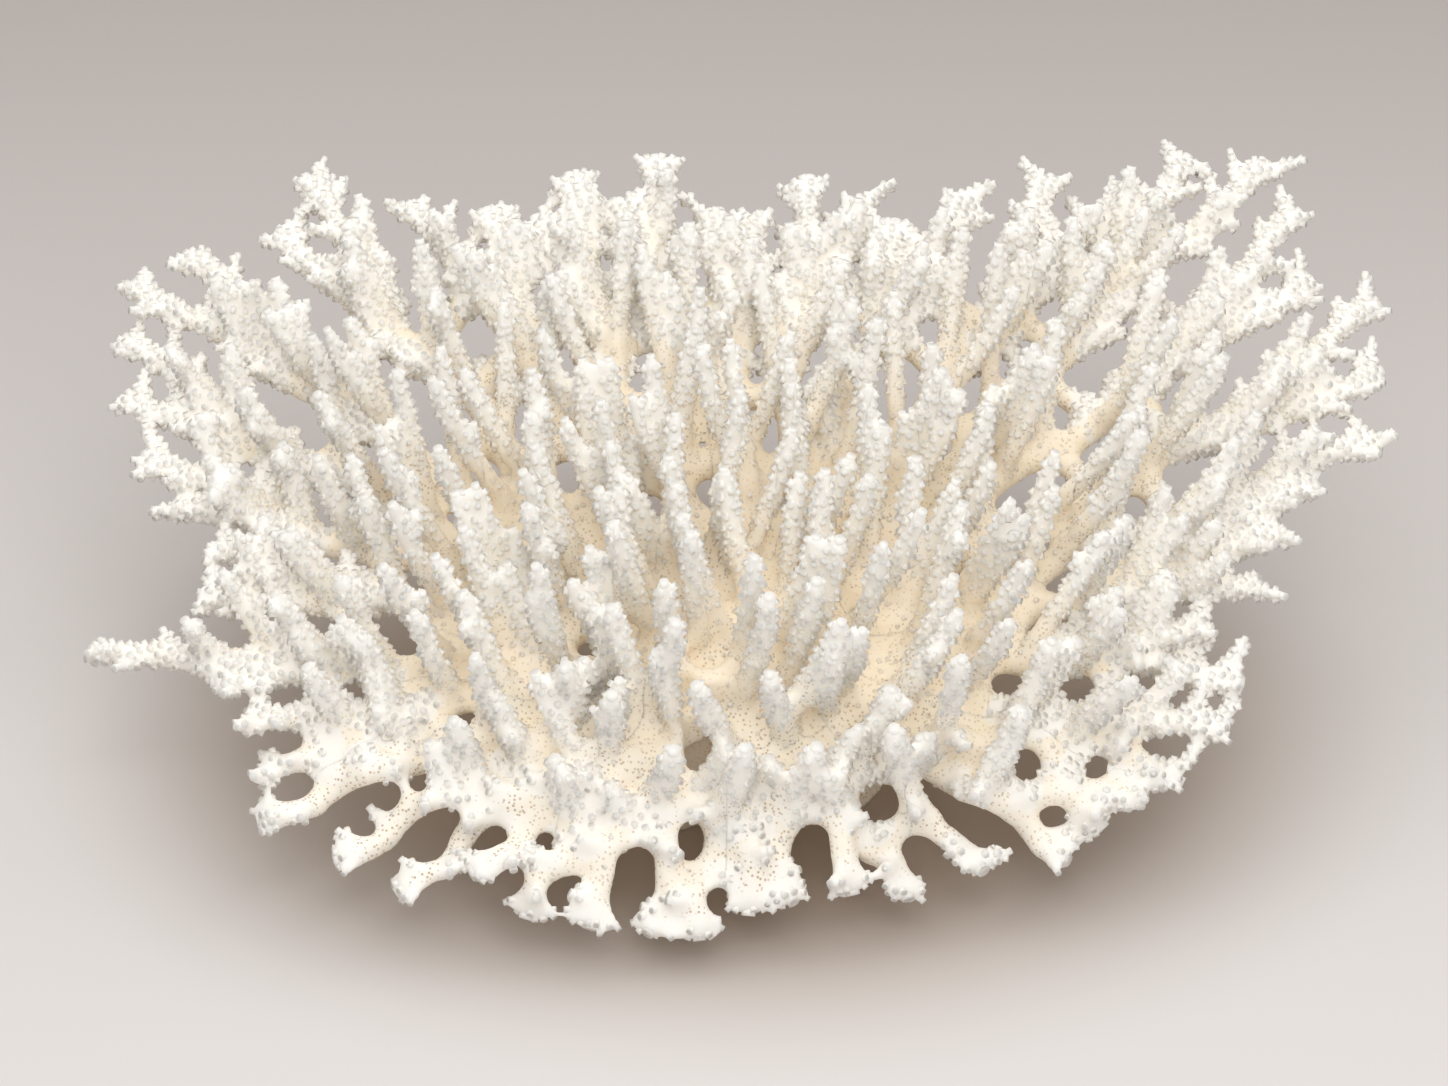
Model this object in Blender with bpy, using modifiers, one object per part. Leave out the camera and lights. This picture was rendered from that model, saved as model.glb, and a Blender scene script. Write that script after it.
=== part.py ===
"""A table coral colony: a stalk cut off flat where it grew on rock, with boughs that fan out from its crown.

Each bough forks into two or three limbs, and each limb into two tips. Upright fingers stand along them, twigs
branch off near the tips, and bridges grow from bough to bough, which leaves windows between them. The colony
is split where its boughs leave the crown and, on the long ones, where their limbs part.
"""

import math
import random

import bmesh
import bpy
from mathutils import Matrix, Vector

MM = 0.001
UP = Vector((0, 0, 1))
COLLECTION = "branching_coral"

# The cut lies at height 0 with its centre at the origin. The colony faces -Y, and +X is its right.
CROWN = Vector((0, -30, 50)) * MM
CUT_RADIUS_X = 52 * MM
CUT_RADIUS_Y = 46 * MM
HUB_RADIUS = 32 * MM
HUB_SPOKE_RADIUS = 6.2 * MM
HUB_FINGERS = 9
HOLE = CROWN + Vector((-7, -29, 0)) * MM
HOLE_RADIUS = 8 * MM
HOLE_DEPTH = 48 * MM
ROOTS = 9
ROOT_FOOT_RADIUS = 15 * MM
ROOT_HEAD_RADIUS = 11 * MM
SPLIT_GAP = 0.3 * MM

# The tips of each bough, limb by limb, from the right round the back: bearing about the crown in degrees
# (0 is +X, 90 is +Y), reach from the crown and height above the cut in millimetres.
BOUGHS = {
    "right_bough_1": (((345, 122, 32), (351, 133, 42)), ((356, 136, 48), (361, 128, 58))),
    "right_bough_2": (((366, 143, 62), (371, 151, 70)), ((375, 165, 76), (379, 185, 80))),
    "back_right_bough_1": (
        ((384, 196, 88), (389, 206, 98)),
        ((394, 196, 100), (399, 207, 110)),
        ((404, 212, 114), (409, 199, 116)),
    ),
    "back_right_bough_2": (((412, 182, 110), (418, 172, 112)), ((424, 149, 114), (430, 134, 108))),
    "back_bough_1": (((435, 140, 112), (441, 138, 118)), ((447, 127, 112), (453, 132, 110))),
    "back_bough_2": (((459, 145, 120), (464, 138, 112)), ((469, 145, 118), (474, 140, 110))),
    "back_left_bough_1": (((479, 145, 112), (485, 160, 112)), ((491, 186, 114), (496, 180, 106))),
    "back_left_bough_2": (((501, 199, 98), (505, 209, 92)), ((509, 201, 84), (514, 191, 76))),
    "left_bough_1": (((518, 177, 70), (523, 160, 66)), ((529, 145, 66), (535, 145, 60))),
    "left_bough_2": (((542, 172, 56), (547, 140, 54)), ((552, 132, 50), (557, 130, 40))),
    "front_left_bough": (((562, 134, 34), (569, 119, 26)), ((576, 109, 20), (583, 93, 26))),
    "front_bough_1": (((591, 88, 15), (601, 80, 14)), ((612, 74, 10), (622, 72, 9))),
    "front_bough_2": (((633, 66, 14), (643, 66, 16)), ((657, 70, 18), (668, 75, 13))),
    "front_right_bough": (((680, 86, 20), (690, 102, 20)), ((696, 107, 26), (701, 114, 30))),
}
WHOLE_BOUGHS = ("front_left_bough", "front_bough_1", "front_bough_2", "front_right_bough")

# Where a bough forks and its limbs have parted, as shares of its reach and as longest distances.
FORK_SHARE, FORK_MOST = 0.36, 42 * MM
PART_SHARE, PART_MOST = 0.62, 68 * MM
LIMB_FORK_SHARE = 0.58
KNOT_STEP = 14 * MM
SWAY = 3.2 * MM
ROOT_RADIUS = 6.2 * MM
TIP_RADIUS = 3.6 * MM
END_RADIUS = 3.0 * MM

# Fingers are longest at the back and shorter at the tips and where the colony droops in front, where they
# stand more upright and are thicker.
FINGER_STEP = 15 * MM
FINGER_RADIUS = 3.6 * MM
FINGER_END_RADIUS = 3.0 * MM
FINGER_LONG = 39 * MM
FINGER_SHORT = 26 * MM
FINGER_SHORT_AT_Y = -95 * MM
FINGER_LONG_AT_Y = 0 * MM
FINGER_LAST_SHARE = 0.86
FRONT_FROM_Y = -35 * MM
FRONT_DEPTH = 40 * MM
FRONT_THICKER = 0.22
TWIG_STEP = 22 * MM
TWIG_LENGTH = 13 * MM
TWIG_FIRST_SHARE = 0.68
BRIDGE_RADIUS = 4.2 * MM
BRIDGE_REACHES = tuple(reach * MM for reach in (44, 60, 79, 103, 131))
BRIDGE_SHARE = 0.84
WEB = 0.7 * MM  # the tubes are fused this much thicker and then shrunk, which webs their crotches
VOXEL = 1.5 * MM
SLIVER = 0.05 * MM
TRIANGLES_PER_METRE = 350
STALK_TRIANGLES_PER_METRE = 300

WHITE = (0.87, 0.85, 0.81, 1)


def smooth(x):
    """0 up to 0, 1 from 1 on, and level at both ends."""
    x = min(1.0, max(0.0, x))
    return x * x * (3 - 2 * x)


def mix(a, b, share):
    """The values a share of the way from a to b."""
    return tuple(x + (y - x) * share for x, y in zip(a, b))


def mean(tips):
    """The mean of tips, value by value."""
    return tuple(sum(values) / len(tips) for values in zip(*tips))


def outward(bearing):
    """The level direction away from the crown at a bearing in degrees."""
    return Vector((math.cos(math.radians(bearing)), math.sin(math.radians(bearing)), 0))


def fork_reaches(bough):
    """How far from the crown a bough forks and how far its limbs have parted."""
    reach = mean([tip for limb in bough for tip in limb])[1] * MM
    return min(FORK_MOST, FORK_SHARE * reach), min(PART_MOST, PART_SHARE * reach)


def course(bough, limb, tip, reach):
    """The point of a strand at a plan distance from the crown, on its way to a tip."""
    fork, part = fork_reaches(bough)
    stage_1 = smooth((reach - fork) / (part - fork))
    goal = mix(mean([end for each in bough for end in each]), mean(limb), stage_1)
    stage_2 = smooth((reach / (tip[1] * MM) - LIMB_FORK_SHARE) / (1 - LIMB_FORK_SHARE))
    bearing, length, height = mix(goal, tip, stage_2)
    rise = (height * MM - CROWN.z) * (reach / (length * MM)) ** 1.5
    wave = math.sin(reach / MM / 9 + limb[0][0] * 1.7) * smooth(reach / PART_MOST) * (1 - stage_2)
    return CROWN + outward(bearing) * reach + UP * rise + UP.cross(outward(bearing)) * wave * SWAY


def strand_radius(reach, tip):
    """A strand's radius at a plan distance from the crown."""
    share = reach / (tip[1] * MM)
    return ROOT_RADIUS + (TIP_RADIUS - ROOT_RADIUS) * min(1, share)


def knot_reaches(first, last):
    """Distances from first to last, about KNOT_STEP apart."""
    count = max(1, round((last - first) / KNOT_STEP))
    return [first + (last - first) * i / count for i in range(count + 1)]


class Skeleton:
    """The strands, fingers, twigs and bridges of one piece, which are fused into one body."""

    def __init__(self, name):
        self.name = name
        self.tubes = []
        self.knots = []

    def finger(self, root, bearing, share, side):
        """An upright finger, leaning out more the further out it stands, but not in front."""
        dice = random.Random(f"finger {root.x:.3f} {root.y:.3f}")
        front = smooth((FRONT_FROM_Y - root.y) / FRONT_DEPTH)
        depth = (root.y - FINGER_SHORT_AT_Y) / (FINGER_LONG_AT_Y - FINGER_SHORT_AT_Y)
        length = FINGER_SHORT + (FINGER_LONG - FINGER_SHORT) * smooth(depth)
        shorter = (0.6 - 0.2 * front) * smooth((share - 0.45) / 0.45)
        length *= dice.uniform(0.8, 1.12) * (1 - shorter)
        steep = 10 + (50 if root.z < CROWN.z - 4 * MM else 32) * share
        lean = math.radians(steep + (6 + 8 * share - steep) * front + dice.uniform(-8, 8))
        across = UP.cross(outward(bearing))
        way = UP * math.cos(lean) + outward(bearing) * math.sin(lean) + across * side * dice.uniform(0.05, 0.4)
        middle = root + way * length * 0.55 + across * side * 1.5 * MM
        end = middle + (way + UP * 0.25).normalized() * length * 0.45
        wide = 1 + FRONT_THICKER * front
        thick, thin = FINGER_RADIUS * wide, FINGER_END_RADIUS * wide
        self.tubes.append([(root, thick), (middle, thick), (end, thin)])

    def twig(self, root, bearing, side):
        """A short side twig near a tip."""
        way = (outward(bearing + 50 * side) + UP * 0.4).normalized()
        self.tubes.append([(root, END_RADIUS), (root + way * TWIG_LENGTH, END_RADIUS)])

    def strand(self, bough, limb, tip, reaches):
        """A strand through the given distances, with its fingers and twigs."""
        end = tip[1] * MM
        tube = [(course(bough, limb, tip, reach), strand_radius(reach, tip)) for reach in reaches]
        if reaches[-1] > 0.99 * end:
            tube[-1] = (tube[-1][0], END_RADIUS)
        self.tubes.append(tube)
        self.knots += [point for point, radius in tube]
        for step, grow in ((FINGER_STEP, self.finger), (TWIG_STEP, self.twig)):
            for number in range(math.ceil(reaches[0] / step), math.ceil(reaches[-1] / step)):
                reach = number * step
                share = reach / end
                root = course(bough, limb, tip, reach)
                bearing = math.degrees(math.atan2(root.y - CROWN.y, root.x))
                side = 1 if number % 2 else -1
                if grow == self.finger and share < FINGER_LAST_SHARE:
                    self.finger(root, bearing, share, side)
                if grow == self.twig and share > TWIG_FIRST_SHARE:
                    self.twig(root, bearing, side)

    def bridge(self, goal):
        """A stub from the nearest knot to a neighbour's side, past the split between them."""
        nearest = min(self.knots, key=lambda knot: (knot - goal).length)
        away = goal - nearest
        if 4 * MM < away.length < 26 * MM:
            self.tubes.append([(nearest, BRIDGE_RADIUS), (goal + away.normalized() * 3 * MM, BRIDGE_RADIUS)])

    def body(self, triangles_per_metre=TRIANGLES_PER_METRE):
        """The fused body as an object, with as many triangles as its length calls for."""
        curve = bpy.data.curves.new(self.name, "CURVE")
        curve.dimensions = "3D"
        curve.bevel_depth = 1.0
        curve.bevel_resolution = 1
        curve.use_fill_caps = True
        for tube in self.tubes:
            spline = curve.splines.new("POLY")
            spline.points.add(len(tube) - 1)
            for knot, (point, radius) in zip(spline.points, tube):
                knot.co = (*point, 1)
                knot.radius = radius + WEB
        tubes = bpy.data.objects.new(self.name + "_tubes", curve)
        bpy.context.scene.collection.objects.link(tubes)
        ob = bpy.data.objects.new(self.name, evaluated_mesh(tubes))
        bpy.data.objects.remove(tubes)
        bpy.data.collections[COLLECTION].objects.link(ob)
        for step in ("fuse", "settle"):
            fuse = ob.modifiers.new(step, "REMESH")
            fuse.mode = "VOXEL"
            fuse.voxel_size = VOXEL
            if step == "fuse":
                shrink = ob.modifiers.new("shrink", "DISPLACE")
                shrink.mid_level = 0.0
                shrink.strength = -WEB
        fused = evaluated_mesh(ob)
        length = sum((b[0] - a[0]).length for tube in self.tubes for a, b in zip(tube, tube[1:]))
        thin = ob.modifiers.new("thin", "DECIMATE")
        thin.ratio = triangles_per_metre * length / (2 * len(fused.polygons))
        thin.use_collapse_triangulate = True
        thinned = evaluated_mesh(ob)
        ob.modifiers.clear()
        ob.data = thinned
        thinned.name = self.name
        return ob


def cutter(name, block):
    """A cutter object from a bmesh, in the cutters' collection."""
    mesh = bpy.data.meshes.new(name)
    block.to_mesh(mesh)
    block.free()
    made = bpy.data.objects.new(name, mesh)
    made.display_type = "WIRE"
    made.hide_render = True
    bpy.data.collections["cutters"].objects.link(made)
    return made


def boolean(ob, other, operation):
    """Apply an exact Boolean with another object to a body."""
    modifier = ob.modifiers.new("boolean", "BOOLEAN")
    modifier.solver = "EXACT"
    modifier.operation = operation
    modifier.object = other
    result = evaluated_mesh(ob)
    ob.modifiers.clear()
    ob.data = result


def evaluated_mesh(ob):
    """The object's mesh with its modifiers applied."""
    return bpy.data.meshes.new_from_object(ob.evaluated_get(bpy.context.evaluated_depsgraph_get()))


LIMBS = [(bough, limb) for bough in BOUGHS.values() for limb in bough]


def gap_neighbours(gap):
    """The limb before a gap and the one after it, each with the tip that is nearest to the gap."""
    before, after = LIMBS[gap - 1], LIMBS[gap % len(LIMBS)]
    return (*before, before[1][-1]), (*after, after[1][0])


def gap_bearing(gap):
    """The bearing of the split in the middle of a gap between two limbs."""
    before, after = gap_neighbours(gap)
    turn = -360 if gap == 0 else 0
    full = 360 if gap == len(LIMBS) else 0
    return (before[2][0] + turn + after[2][0] + full) / 2


def bridge_goals(gap):
    """Where bridges cross a gap between limbs, as (reach, point) pairs."""
    before, after = gap_neighbours(gap)
    goals = []
    dice = random.Random(gap % len(LIMBS))
    for middle in BRIDGE_REACHES:
        reach = middle * dice.uniform(0.93, 1.07)
        if reach < BRIDGE_SHARE * min(before[2][1], after[2][1]) * MM:
            point = CROWN + outward(gap_bearing(gap)) * reach
            point.z = (course(*before, reach).z + course(*after, reach).z) / 2
            if (point - HOLE).length > 2 * HOLE_RADIUS:
                goals.append((reach, point))
    return goals


def cut_plane(body, point, normal):
    """Cut off what lies in front of a plane and close the cut."""
    bmesh.ops.triangulate(body, faces=body.faces)
    geometry = list(body.verts) + list(body.edges) + list(body.faces)
    cut = bmesh.ops.bisect_plane(
        body, geom=geometry, dist=1e-7, plane_co=point, plane_no=normal, clear_outer=True
    )
    rim = [item for item in cut["geom_cut"] if isinstance(item, bmesh.types.BMEdge)]
    bmesh.ops.holes_fill(body, edges=rim, sides=0)
    bmesh.ops.triangulate(body, faces=body.faces)


def keep_largest(body):
    """Drop every island but the one with the most vertices."""
    left = set(body.verts)
    islands = []
    while left:
        stack = [left.pop()]
        island = set(stack)
        while stack:
            for edge in stack.pop().link_edges:
                for vert in edge.verts:
                    if vert in left:
                        left.remove(vert)
                        island.add(vert)
                        stack.append(vert)
        islands.append(island)
    largest = max(islands, key=len)
    for island in islands:
        if island is not largest:
            bmesh.ops.delete(body, geom=list(island), context="VERTS")


def tidy(body):
    """Close up slivers that a cut leaves, and face everything outwards."""
    bmesh.ops.dissolve_degenerate(body, edges=body.edges, dist=SLIVER)
    bmesh.ops.triangulate(body, faces=body.faces)
    bmesh.ops.recalc_face_normals(body, faces=body.faces)


def split_off(ob, edges, inner, outer, bearing):
    """Keep the part of a body between two bearings and two distances from the crown."""
    body = bmesh.new()
    body.from_mesh(ob.data)
    half = SPLIT_GAP / 2
    for edge, side in ((edges[0], -1), (edges[1], 1)):
        normal = UP.cross(outward(edge)) * side
        cut_plane(body, CROWN - normal * half, normal)
    cut_plane(body, CROWN + outward(bearing) * (inner + half), -outward(bearing))
    if outer is not None:
        cut_plane(body, CROWN + outward(bearing) * (outer - half), outward(bearing))
    keep_largest(body)
    tidy(body)
    body.to_mesh(ob.data)
    body.free()


def coral_white(name, shade):
    """Bleached coral: chalky, warm white and rough."""
    material = bpy.data.materials.new(name)
    material.use_nodes = True
    surface = material.node_tree.nodes["Principled BSDF"]
    surface.inputs["Base Color"].default_value = tuple(c * shade for c in WHITE[:3]) + (1,)
    surface.inputs["Roughness"].default_value = 0.85
    surface.inputs["Metallic"].default_value = 0.0
    return material


def finish(ob, shade):
    """Give a body its material and its collection."""
    ob.data.materials.clear()
    ob.data.materials.append(coral_white("coral_" + ob.name, shade))
    if ob.name not in bpy.data.collections[COLLECTION].objects:
        bpy.data.collections[COLLECTION].objects.link(ob)


def crown():
    """The hub that carries the boughs, with its fingers and the hole in front."""
    hub = Skeleton("hub")
    bearings = [mean([mean(limb) for limb in bough])[0] for bough in BOUGHS.values()]
    for bearing, bough in zip(bearings, BOUGHS.values()):
        middle = mean([mean(limb) for limb in bough])
        end = course(bough, bough[0], middle, HUB_RADIUS + 4 * MM)
        hub.tubes.append([(CROWN, HUB_SPOKE_RADIUS), (end, HUB_SPOKE_RADIUS)])
    for number in range(HUB_FINGERS):
        bearing = 340 + 220 * number / (HUB_FINGERS - 1)
        hub.finger(CROWN + outward(bearing) * HUB_RADIUS * 0.55, bearing, 0.1, 1)
    hub.finger(CROWN, 90, 0, 1)
    top = hub.body()
    body = bmesh.new()
    body.from_mesh(top.data)
    for bearing in bearings:
        cut_plane(body, CROWN + outward(bearing) * (HUB_RADIUS - SPLIT_GAP / 2), outward(bearing))
    body.to_mesh(top.data)
    body.free()
    hole = bmesh.new()
    bmesh.ops.create_cone(
        hole,
        cap_ends=True,
        segments=9,
        radius1=HOLE_RADIUS * 0.8,
        radius2=HOLE_RADIUS,
        depth=HOLE_DEPTH,
        matrix=Matrix.Translation(HOLE),
    )
    boolean(top, cutter("hole", hole), "DIFFERENCE")
    return top


def stalk_body():
    """The stalk, fluted by the roots that it is made of and cut off flat."""
    stalk = Skeleton("stem")
    for number in range(ROOTS):
        around = outward(360 * number / ROOTS)
        foot = Vector((around.x * (CUT_RADIUS_X - ROOT_FOOT_RADIUS), around.y * (CUT_RADIUS_Y - ROOT_FOOT_RADIUS), 0))
        head = CROWN + around * (HUB_RADIUS - 2 * ROOT_HEAD_RADIUS) - UP * ROOT_HEAD_RADIUS / 2
        below = foot - UP * 8 * MM
        stalk.tubes.append([(below, ROOT_FOOT_RADIUS), (foot.lerp(head, 0.5), 13 * MM), (head, ROOT_HEAD_RADIUS)])
    stalk.tubes.append([(Vector((0, 0, -8 * MM)), 30 * MM), (CROWN - UP * 3 * MM, 18 * MM)])
    base = stalk.body(STALK_TRIANGLES_PER_METRE)
    body = bmesh.new()
    body.from_mesh(base.data)
    cut_plane(body, Vector(), -UP)
    body.to_mesh(base.data)
    body.free()
    return base


def stem():
    """The stalk and the crown in one body."""
    top = crown()
    base = stalk_body()
    boolean(base, top, "UNION")
    bpy.data.objects.remove(top)
    body = bmesh.new()
    body.from_mesh(base.data)
    keep_largest(body)
    tidy(body)
    body.to_mesh(base.data)
    body.free()
    finish(base, 0.9)


def limb_skeleton(name, bough, limb, gap):
    """A limb from before the bough's split to its two tips. Gap is the number of the gap before it."""
    skeleton = Skeleton(name)
    part = fork_reaches(bough)[1]
    first = part - 6 * MM
    middle = mean(limb)
    fork = LIMB_FORK_SHARE * middle[1] * MM
    skeleton.strand(bough, limb, middle, knot_reaches(first, fork))
    for tip in limb:
        skeleton.strand(bough, limb, tip, knot_reaches(fork, tip[1] * MM))
    for reach, goal in bridge_goals(gap) + bridge_goals(gap + 1):
        if reach > part:
            skeleton.bridge(goal)
    return skeleton


def bough_skeleton(name, bough, whole, gap):
    """A bough from inside the crown to where its limbs have parted, or to their tips."""
    skeleton = Skeleton(name)
    fork, part = fork_reaches(bough)
    middle = mean([mean(limb) for limb in bough])
    skeleton.strand(bough, bough[0], middle, knot_reaches(HUB_RADIUS - 8 * MM, fork))
    for limb in bough:
        limb_fork = LIMB_FORK_SHARE * mean(limb)[1] * MM
        last = max(limb_fork, fork + 6 * MM) if whole else part + 6 * MM
        skeleton.strand(bough, limb, mean(limb), knot_reaches(fork, last))
        if whole:
            for tip in limb:
                skeleton.strand(bough, limb, tip, knot_reaches(last, tip[1] * MM))
    for number in range(len(bough) + 1):
        for reach, goal in bridge_goals(gap + number):
            if whole or (reach < part and number in (0, len(bough))):
                skeleton.bridge(goal)
    return skeleton


def grow_boughs():
    """Every bough and limb, each cut to its own wedge about the crown."""
    gap = 0
    for name, bough in BOUGHS.items():
        whole = name in WHOLE_BOUGHS
        part = fork_reaches(bough)[1]
        bearing = mean([mean(limb) for limb in bough])[0]
        span = (gap_bearing(gap), gap_bearing(gap + len(bough)))
        body = bough_skeleton(name, bough, whole, gap).body()
        split_off(body, span, HUB_RADIUS, None if whole else part, bearing)
        finish(body, 0.95)
        for number, limb in enumerate(bough):
            if not whole:
                limb_name = f"{name}_limb_{number + 1}"
                body = limb_skeleton(limb_name, bough, limb, gap + number).body()
                sides = (gap_bearing(gap + number), gap_bearing(gap + number + 1))
                split_off(body, sides, part, None, bearing)
                finish(body, 0.98 + 0.04 * (number % 2))
        gap += len(bough)


def main():
    """Build the colony in an emptied scene."""
    for ob in list(bpy.data.objects):
        bpy.data.objects.remove(ob)
    for name in (COLLECTION, "cutters"):
        bpy.context.scene.collection.children.link(bpy.data.collections.new(name))
    stem()
    grow_boughs()


main()
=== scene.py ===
"""The looks of a bleached table coral: its grown skeleton, its corallites, its stage, light and camera.

The colony grows from the same plan as its solids: boughs fan out from a crown, fork into limbs and end in
tips, with upright fingers on them. Here it grows in finer detail as one fused body, which is then parted at
the solids' own splits, so that each piece stands where its solid is.
"""

from __future__ import annotations

import logging
import math
import random
import sys
from collections.abc import Iterator, Sequence
from dataclasses import dataclass, field
from enum import Enum
from itertools import combinations

import bmesh
import bpy
import numpy as np
from mathutils import Matrix, Vector
from mathutils.bvhtree import BVHTree
from mathutils.kdtree import KDTree


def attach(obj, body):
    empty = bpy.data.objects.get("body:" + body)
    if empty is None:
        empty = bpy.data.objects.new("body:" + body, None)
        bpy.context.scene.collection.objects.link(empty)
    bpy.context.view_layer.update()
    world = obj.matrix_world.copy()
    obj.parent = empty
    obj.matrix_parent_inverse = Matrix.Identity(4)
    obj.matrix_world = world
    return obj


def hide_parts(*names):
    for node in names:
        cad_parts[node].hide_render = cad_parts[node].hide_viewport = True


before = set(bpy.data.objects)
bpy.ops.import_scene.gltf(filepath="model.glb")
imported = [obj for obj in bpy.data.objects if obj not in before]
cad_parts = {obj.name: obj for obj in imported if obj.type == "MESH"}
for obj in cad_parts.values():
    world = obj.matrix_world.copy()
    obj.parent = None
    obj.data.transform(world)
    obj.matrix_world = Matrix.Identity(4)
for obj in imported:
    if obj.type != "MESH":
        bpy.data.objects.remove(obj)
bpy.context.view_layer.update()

LOG = logging.getLogger("coral")
MM = 0.001
UP = Vector((0.0, 0.0, 1.0))
CROWN = Vector((0.0, -30.0, 50.0)) * MM  # where every bough starts
HUB_RADIUS = 32 * MM  # how far out the boughs are parted from the crown
FRONT_Y = -60 * MM  # what lies before this is the front, where the skin is older and barer
TipValues = tuple[float, float, float]
Limb = tuple[TipValues, TipValues]
Bough = tuple[Limb, ...]
Split = tuple[Vector, Vector]

# The tips of each bough, limb by limb, from the right round the back: bearing about the crown in degrees
# (0 is +X, 90 is +Y), reach from the crown and height above the cut in millimetres.
BOUGHS: dict[str, Bough] = {
    "right_bough_1": (((345, 122, 32), (351, 133, 42)), ((356, 136, 48), (361, 128, 58))),
    "right_bough_2": (((366, 143, 62), (371, 151, 70)), ((375, 165, 76), (379, 185, 80))),
    "back_right_bough_1": (
        ((384, 196, 88), (389, 206, 98)),
        ((394, 196, 100), (399, 207, 110)),
        ((404, 212, 114), (409, 199, 116)),
    ),
    "back_right_bough_2": (((412, 182, 110), (418, 172, 112)), ((424, 149, 114), (430, 134, 108))),
    "back_bough_1": (((435, 140, 112), (441, 138, 118)), ((447, 127, 112), (453, 132, 110))),
    "back_bough_2": (((459, 145, 120), (464, 138, 112)), ((469, 145, 118), (474, 140, 110))),
    "back_left_bough_1": (((479, 145, 112), (485, 160, 112)), ((491, 186, 114), (496, 180, 106))),
    "back_left_bough_2": (((501, 199, 98), (505, 209, 92)), ((509, 201, 84), (514, 191, 76))),
    "left_bough_1": (((518, 177, 70), (523, 160, 66)), ((529, 145, 66), (535, 145, 60))),
    "left_bough_2": (((542, 172, 56), (547, 140, 54)), ((552, 132, 50), (557, 130, 40))),
    "front_left_bough": (((562, 134, 34), (569, 119, 26)), ((576, 109, 20), (583, 93, 26))),
    "front_bough_1": (((591, 88, 15), (601, 80, 14)), ((612, 74, 10), (622, 72, 9))),
    "front_bough_2": (((633, 66, 14), (643, 66, 16)), ((657, 70, 18), (668, 75, 13))),
    "front_right_bough": (((680, 86, 20), (690, 102, 20)), ((696, 107, 26), (701, 114, 30))),
}
WHOLE_BOUGHS = ("front_left_bough", "front_bough_1", "front_bough_2", "front_right_bough")
FANS = tuple(BOUGHS[name] for name in WHOLE_BOUGHS)
FAN_TIPS = [tip for bough in FANS for limb in bough for tip in limb]
LIMBS: list[tuple[Bough, Limb]] = [(bough, limb) for bough in BOUGHS.values() for limb in bough]


class Kind(Enum):
    """What a stretch of coral is, which decides how it is covered."""

    STRAND = "strand"
    BRIDGE = "bridge"
    FINGER = "finger"
    TWIG = "twig"
    ROOT = "root"


class Slot(Enum):
    """The material slots of the record."""

    BRANCH = "branch_coral"
    STALK = "stalk_coral"


def smooth(x: float) -> float:
    """0 up to 0, 1 from 1 on, and level at both ends."""
    x = min(1.0, max(0.0, x))
    return x * x * (3 - 2 * x)


def mix(a: Sequence[float], b: Sequence[float], share: float) -> tuple[float, ...]:
    """The values a share of the way from a to b."""
    return tuple(x + (y - x) * share for x, y in zip(a, b))


def mean(rows: Sequence[Sequence[float]]) -> tuple[float, ...]:
    """The mean of rows of values, column by column."""
    return tuple(sum(values) / len(rows) for values in zip(*rows))


def outward(bearing: float) -> Vector:
    """The level direction away from the crown at a bearing in degrees."""
    return Vector((math.cos(math.radians(bearing)), math.sin(math.radians(bearing)), 0.0))


def bearing_of(point: Vector) -> float:
    """The bearing of a point about the crown, in degrees."""
    return math.degrees(math.atan2(point.y - CROWN.y, point.x - CROWN.x))


@dataclass
class Tube:
    """A stretch of coral that is round in section.

    Args:
        kind: What the stretch is.
        points: Its course, from the root to the tip.
        radii: Its radius at each point, without its corallites.
        tip: Whether it ends in a growing tip.
    """

    kind: Kind
    points: list[Vector]
    radii: list[float]
    tip: bool = False

    def rounded(self) -> tuple[list[Vector], list[float]]:
        """The course and radii with a further knot that rounds off a growing tip."""
        if not self.tip:
            return self.points, self.radii
        way = (self.points[-1] - self.points[-2]).normalized()
        knot = self.points[-1] + way * self.radii[-1] * 0.8
        return [*self.points, knot], [*self.radii, self.radii[-1] * 0.4]


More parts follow.
